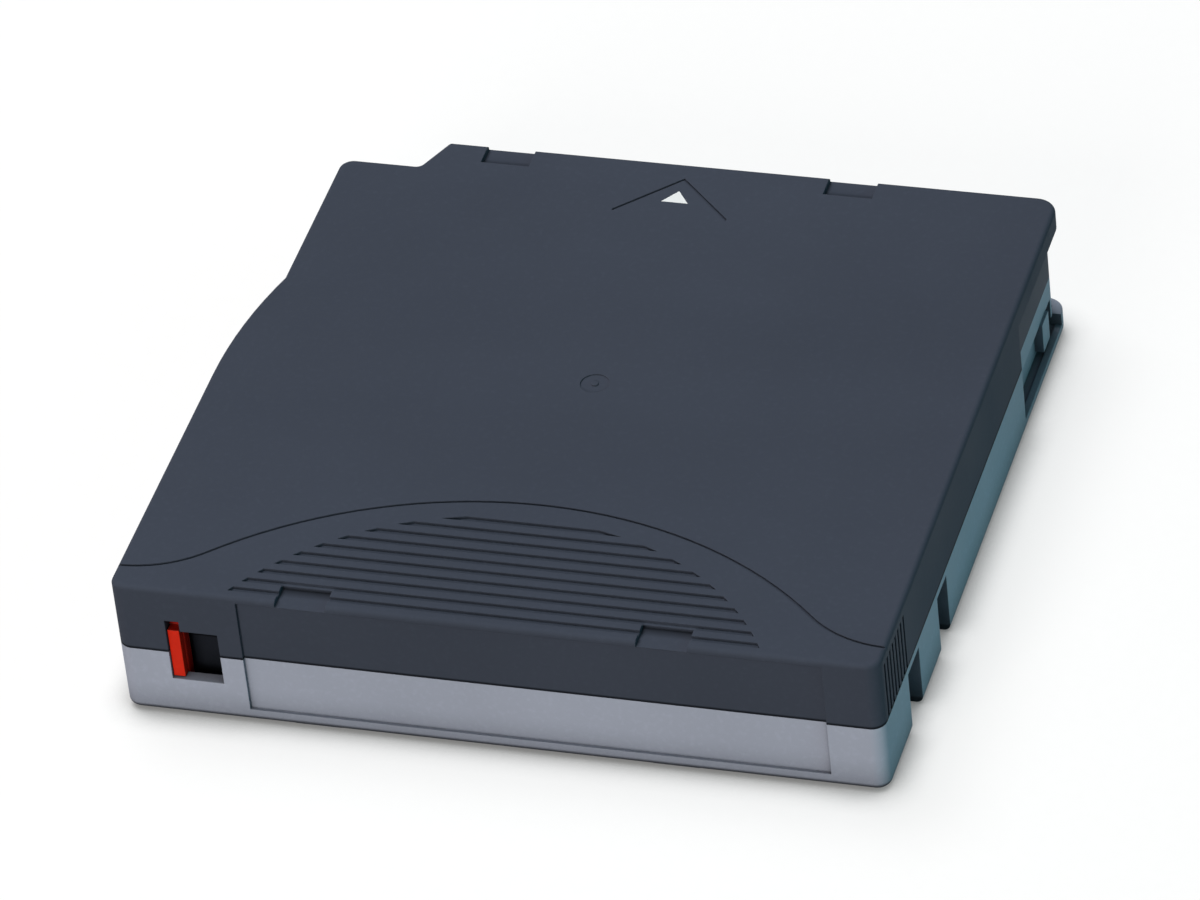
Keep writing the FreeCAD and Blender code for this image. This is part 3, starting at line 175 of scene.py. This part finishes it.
def plastic(name, colour, rough=0.55, grain=2600.0, depth=0.012, edge_wear_and_highlight=0.12, soft=0.2, sheen=0.5,
            shade_in_hollows=(0.2, 0.6), inside=None, shade_band=None, above=None):
    """Moulded plastic: fine eroded grain, flow clouds, edges smoother and paler, partly as worn plastic and partly
    as painted highlight, and painted shade in hollows.

    The range of shade in hollows gives the openness between which that painted shade fades out. Inside, as (low,
    high) of the housing, paints shade on what lies under its skin. The band of shade, as (height, reach, share),
    paints a darker band along one height. Above, as (height, colour), gives another colour from a height upwards.
    """
    paint = Paint(name)
    bent = paint.soften(soft * MM)
    height = paint.node("ShaderNodeSeparateXYZ", Vector=paint.place).outputs["Z"]
    body = shade(colour, 1.0)
    if above:
        body = paint.tint(paint.math("GREATER_THAN", height, above[0]), body, shade(above[1], 1.0))
    clouds = paint.spread(paint.noise(28.0, 3.0), *MIDS, 0.94, 1.05)
    streaks = paint.spread(paint.noise(9.0, 2.0, paint.stretched(1.0, 5.0, 1.0)), 0.35, 0.65, 1.0, 0.96)
    specks = paint.spread(paint.noise(grain * 0.45, 2.0), 0.52, 0.78, 1.0, 1.08)
    tone = paint.math("MULTIPLY", paint.math("MULTIPLY", clouds, streaks), specks)
    # painted shade: darker where nearby surfaces hide the sky, in hollows, grooves and near the floor
    tone = paint.math("MULTIPLY", tone, paint.spread(paint.open_sky(HOLLOW_REACH, PROBES), *shade_in_hollows, 0.22, 1.0))
    # painted shade: what lies under the housing's skin is made darker
    if inside:
        tone = paint.math("MULTIPLY", tone, paint.spread(paint.outwards(*inside), *SKIN, 0.3, 1.0))
    # painted shade: a darker band along one height, at the seam between the halves and along the bottom rim
    if shade_band:
        level, reach, share = shade_band
        off = paint.math("ABSOLUTE", paint.math("SUBTRACT", height, level))
        tone = paint.math("MULTIPLY", tone, paint.spread(off, reach * 0.5, reach, share, 1.0))
    body = paint.node("ShaderNodeVectorMath", {"operation": "SCALE"}, i0=body, Scale=tone).outputs[0]
    # paler edges: partly worn plastic, partly a painted highlight on every sharp edge
    patchy = paint.spread(paint.noise(420.0, 3.0), 0.35, 0.7, 0.25, 1.0)
    worn_lit_edges = paint.math("MULTIPLY", paint.edges(bent), patchy)
    body = paint.tint(paint.math("MULTIPLY", worn_lit_edges, edge_wear_and_highlight), body, WORN_LIT_EDGE)
    smooth = paint.spread(paint.noise(60.0, 4.0), *MIDS, rough - 0.05, rough + 0.05)
    smooth = paint.math("SUBTRACT", smooth, paint.math("MULTIPLY", worn_lit_edges, 0.1))
    paint.relief(paint.noise(grain, 3.0, rough=0.65), 0.35, depth * MM, bent)
    return paint.coat(Base_Color=body, Roughness=smooth, Specular_IOR_Level=sheen)


def metal(name, colour, rough=0.3, along=(1.0, 1.0, 1.0), scale=900.0):
    """Steel with fine drawn or turned marks."""
    paint = Paint(name)
    marks = paint.noise(scale, 3.0, paint.stretched(*along))
    tone = paint.tint(paint.spread(marks, *MIDS, 0.0, 1.0), shade(colour, 0.86), shade(colour, 1.08))
    stain = paint.noise(70.0, 3.0)
    tone = paint.tint(paint.spread(stain, 0.5, 0.8, 0.0, 0.4), tone, shade(colour, 0.75))
    paint.relief(marks, 0.2, 0.004 * MM)
    smooth = paint.spread(stain, *MIDS, rough - 0.07, rough + 0.1)
    return paint.coat(Base_Color=tone, Metallic=1.0, Roughness=smooth)


def wound_tape(name, colour, centre):
    """The edges of wound film: very fine rings round the reel's axis, in bands that stand a little apart."""
    paint = Paint(name)
    flat = paint.vector("MULTIPLY", paint.vector("SUBTRACT", paint.place, centre), (1.0, 1.0, 0.0))
    radius = paint.vector("LENGTH", flat)
    height = paint.node("ShaderNodeSeparateXYZ", Vector=paint.place).outputs["Z"]
    rings = paint.node("ShaderNodeCombineXYZ", X=radius, Y=paint.math("MULTIPLY", height, 0.05)).outputs[0]
    turns = paint.noise(5200.0, 2.0, rings)
    bands = paint.noise(420.0, 3.0, rings)
    tone = paint.tint(paint.spread(turns, *MIDS, 0.0, 1.0), shade(colour, 0.7), shade(colour, 1.3))
    tone = paint.tint(paint.spread(bands, 0.4, 0.7, 0.0, 0.5), tone, shade(colour, 1.7))
    paint.relief(paint.math("ADD", turns, bands), 0.4, 0.01 * MM)
    return paint.coat(Base_Color=tone, Roughness=paint.spread(bands, *MIDS, 0.24, 0.4))


def film(name, colour):
    """Tape film, with slow waves across its gloss."""
    paint = Paint(name)
    waves = paint.noise(160.0, 2.0, paint.stretched(1.0, 1.0, 0.2))
    tone = paint.tint(waves, shade(colour, 0.8), shade(colour, 1.3))
    paint.relief(waves, 0.15, 0.02 * MM)
    return paint.coat(Base_Color=tone, Roughness=paint.spread(waves, *MIDS, 0.16, 0.28))


def board(name, colour):
    """Solder mask over a fine weave."""
    paint = Paint(name)
    weave = paint.node("ShaderNodeTexBrick", Vector=paint.place, Scale=900.0).outputs["Fac"]
    mask = paint.noise(300.0, 2.0)
    tone = paint.tint(paint.math("MULTIPLY", weave, 0.5), shade(colour, 1.0), shade(colour, 1.5))
    tone = paint.tint(paint.spread(mask, 0.4, 0.7, 0.0, 0.4), tone, shade(colour, 0.7))
    paint.relief(weave, 0.2, 0.01 * MM)
    return paint.coat(Base_Color=tone, Roughness=paint.spread(mask, *MIDS, 0.3, 0.42))


def ink(name, colour):
    """Pad-printed ink: even, slightly rough, thinner in specks."""
    paint = Paint(name)
    specks = paint.noise(5000.0, 2.0)
    tone = paint.tint(paint.spread(specks, 0.6, 0.8, 0.0, 0.5), shade(colour, 1.0), shade(colour, 0.82))
    paint.relief(specks, 0.2, 0.004 * MM)
    return paint.coat(Base_Color=tone, Roughness=paint.spread(specks, *MIDS, 0.42, 0.55))


UPPER = (0.052, 0.061, 0.085)
LOWER = (0.40, 0.43, 0.53)
# openness range for a stronger painted shade in hollows
STRONG_HOLLOW_SHADE = (0.35, 0.9)
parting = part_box("lower_shell")[1].z
low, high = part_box("lower_shell")[0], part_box("upper_shell")[1]
# height of the painted shade along the lower half's bottom rim
rim = low.z + 0.7 * MM
reel_low, reel_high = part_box("tape_pack")
reel_middle = tuple((reel_low + reel_high) / 2)

finishes = {
    # painted shadow line along the seam on the upper half, painted shade along the bottom rim on the lower half
    "upper_plastic": plastic("upper_plastic", UPPER, 0.62, edge_wear_and_highlight=0.04, sheen=0.025, inside=(low, high),
                             shade_in_hollows=(0.05, 0.5), shade_band=(parting, 0.5 * MM, 0.2)),
    "lower_plastic": plastic("lower_plastic", LOWER, 0.58, edge_wear_and_highlight=0.05, sheen=0.04, inside=(low, high),
                             shade_in_hollows=STRONG_HOLLOW_SHADE, shade_band=(rim, 0.8 * MM, 0.4)),
    "door_plastic": plastic("door_plastic", LOWER, 0.6, edge_wear_and_highlight=0.05, sheen=0.05, shade_in_hollows=STRONG_HOLLOW_SHADE,
                            above=(parting, UPPER)),
    "tab_red": plastic("tab_red", (0.66, 0.018, 0.003), 0.45, grain=3400.0, depth=0.006, edge_wear_and_highlight=0.02, sheen=0.15),
    "reel_plastic": plastic("reel_plastic", (0.50, 0.50, 0.48), 0.45, grain=3000.0, depth=0.008),
    "brake_plastic": plastic("brake_plastic", (0.60, 0.60, 0.57), 0.4, grain=3400.0, depth=0.006),
    "pad_plastic": plastic("pad_plastic", (0.08, 0.08, 0.09), 0.4, grain=3400.0, depth=0.006),
    "clip_plastic": plastic("clip_plastic", (0.72, 0.72, 0.69), 0.4, grain=3400.0, depth=0.006),
    "chip_black": plastic("chip_black", (0.02, 0.02, 0.022), 0.5, grain=5200.0, depth=0.004),
    "board_green": board("board_green", (0.02, 0.12, 0.05)),
    "tape_film": film("tape_film", (0.05, 0.045, 0.04)),
    "tape_edge": wound_tape("tape_edge", (0.05, 0.045, 0.04), reel_middle),
    "screw_steel": metal("screw_steel", (0.52, 0.52, 0.53), 0.32, scale=1600.0),
    "pin_steel": metal("pin_steel", (0.62, 0.62, 0.61), 0.22, along=(1.0, 1.0, 8.0), scale=1500.0),
    "spring_steel": metal("spring_steel", (0.55, 0.55, 0.54), 0.28, along=(1.0, 6.0, 1.0), scale=700.0),
    "plate_steel": metal("plate_steel", (0.55, 0.55, 0.55), 0.34, along=(8.0, 1.0, 1.0), scale=500.0),
}
for part in frame["record"]["subparts"]:
    node = frame["nodes"][part["node"]]
    node.data.materials.clear()
    node.data.materials.append(finishes[part["material_slot"]])


def mesh_of(name, points, faces):
    """A mesh from its points and faces."""
    mesh = bpy.data.meshes.new(name)
    mesh.from_pydata(points, [], faces)
    return mesh


def add(name, data):
    """A new object in the scene."""
    made = bpy.data.objects.new(name, data)
    bpy.context.scene.collection.objects.link(made)
    return made


# ---------------------------------------------------------------- printed direction mark

def direction_mark():
    """A white triangle printed on the top face, pointing the way the cartridge goes in."""
    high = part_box("upper_shell")[1]
    top = high.z
    half, tall, thick, from_edge = 1.9 * MM, 2.6 * MM, 0.012 * MM, 9.0 * MM
    base_y = high.y - from_edge
    corners = [(-half, base_y), (half, base_y), (0.0, base_y + tall)]
    points = [(x, y, z) for z in (top, top + thick) for x, y in corners]
    faces = [(2, 1, 0), (3, 4, 5), (0, 1, 4, 3), (1, 2, 5, 4), (2, 0, 3, 5)]
    mark = add("direction_mark", mesh_of("direction_mark", points, faces))
    mark.data.materials.append(ink("mark_ink", (0.86, 0.87, 0.88)))
    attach(mark, "housing")


direction_mark()


# ---------------------------------------------------------------- springs

def live_spring(node):
    """A copy of a rigid spring, which stands in for it.
    """
    rigid = frame["nodes"][node]
    spring = add(f"{node}_coil", rigid.data.copy())
    spring.matrix_world = rigid.matrix_world
    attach(spring, "housing")
    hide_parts(node)
    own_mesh(spring)


live_spring("door_spring")
live_spring("brake_spring")


# ---------------------------------------------------------------- floor, light and camera

def seen_white(tree):
    """1 for the rays that see the white background: those to the eye, and through gloss or glass."""
    rays = tree.nodes.new("ShaderNodeLightPath").outputs
    seen = rays["Is Camera Ray"]
    for way in ("Is Glossy Ray", "Is Transmission Ray"):
        either = tree.nodes.new("ShaderNodeMath")
        either.operation = "MAXIMUM"
        tree.links.new(seen, either.inputs[0])
        tree.links.new(rays[way], either.inputs[1])
        seen = either.outputs[0]
    return seen


def floor():
    """Grey paper under the lamps that rays to the eye see white, apart from the shadow at the cartridge: cast
    there by the lamps, and painted as well where the white fades near its foot.
    """
    reach = 4.0
    corners = [(-reach, -reach, 0), (reach, -reach, 0), (reach, reach, 0), (-reach, reach, 0)]
    plane = add("floor", mesh_of("floor", corners, [(0, 1, 2, 3)]))
    paint = Paint("floor_paper")
    fibre = paint.noise(600.0, 4.0)
    grey = paint.tint(fibre, (0.24, 0.24, 0.24, 1), (0.27, 0.27, 0.27, 1))
    # painted shadow: the white that rays to the eye see fades near the cartridge, where it hides the sky
    white_with_painted_shadow = paint.spread(paint.open_sky(5 * MM, 6), 0.4, 0.9, 0.15, 0.77)
    shown = seen_white(paint.tree)
    paint.coat(Base_Color=grey, Roughness=0.9, Emission_Color=(1, 1, 1, 1),
               Emission_Strength=paint.math("MULTIPLY", shown, white_with_painted_shadow), Specular_IOR_Level=0.0)
    plane.data.materials.append(paint.material)


def world():
    """A faint even light, that rays to the eye see white."""
    made = bpy.data.worlds.new("studio")
    bpy.context.scene.world = made
    made.use_nodes = True
    tree = made.node_tree
    tree.nodes.clear()
    light = tree.nodes.new("ShaderNodeBackground")
    light.inputs[0].default_value = (0.95, 0.98, 1.0, 1)
    light.inputs[1].default_value = 0.11
    shown = tree.nodes.new("ShaderNodeBackground")
    shown.inputs[1].default_value = 1.0
    mix = tree.nodes.new("ShaderNodeMixShader")
    out = tree.nodes.new("ShaderNodeOutputWorld")
    tree.links.new(seen_white(tree), mix.inputs[0])
    tree.links.new(light.outputs[0], mix.inputs[1])
    tree.links.new(shown.outputs[0], mix.inputs[2])
    tree.links.new(mix.outputs[0], out.inputs[0])


def lamp(name, direction, distance, size, power, colour=(1, 1, 1)):
    """A square lamp in a direction from the cartridge, which it faces."""
    data = bpy.data.lights.new(name, "AREA")
    data.shape = "SQUARE"
    data.size = size
    data.energy = power
    data.color = colour
    made = add(name, data)
    way = Vector(direction).normalized()
    made.location = way * distance
    made.rotation_euler = way.to_track_quat("Z", "Y").to_euler()


def camera(azimuth, elevation, roll, distance, target, lens):
    """Azimuth turns from the label face towards the door side."""
    az, el, tilt = (math.radians(angle) for angle in (azimuth, elevation, roll))
    away = Vector((math.sin(az) * math.cos(el), -math.cos(az) * math.cos(el), math.sin(el)))
    level = Vector((math.cos(az), math.sin(az), 0.0))
    upward = away.cross(level)
    across = level * math.cos(tilt) + upward * math.sin(tilt)
    data = bpy.data.cameras.new("camera")
    data.sensor_width = 36.0
    data.lens = lens
    data.clip_start = 0.01
    data.clip_end = 20.0
    made = add("camera", data)
    turn = Matrix((across, away.cross(across), away)).transposed()
    made.matrix_world = Matrix.Translation(target + away * distance) @ turn.to_4x4()
    bpy.context.scene.camera = made


floor()
world()
lamp("key", (-0.35, 0.3, 1.0), distance=1.3, size=0.8, power=12.0)
lamp("front", (-0.15, -1.0, 0.4), distance=1.3, size=0.5, power=9.8, colour=(1.0, 0.96, 0.9))
lamp("side", (1.0, -0.1, 0.3), distance=1.3, size=0.8, power=2.9, colour=(0.1, 0.95, 1.0))
camera(azimuth=19.725, elevation=38.119, roll=-6.615, distance=1.1986, target=(low + high) / 2, lens=265.0)
bpy.context.scene.view_settings.view_transform = "Standard"
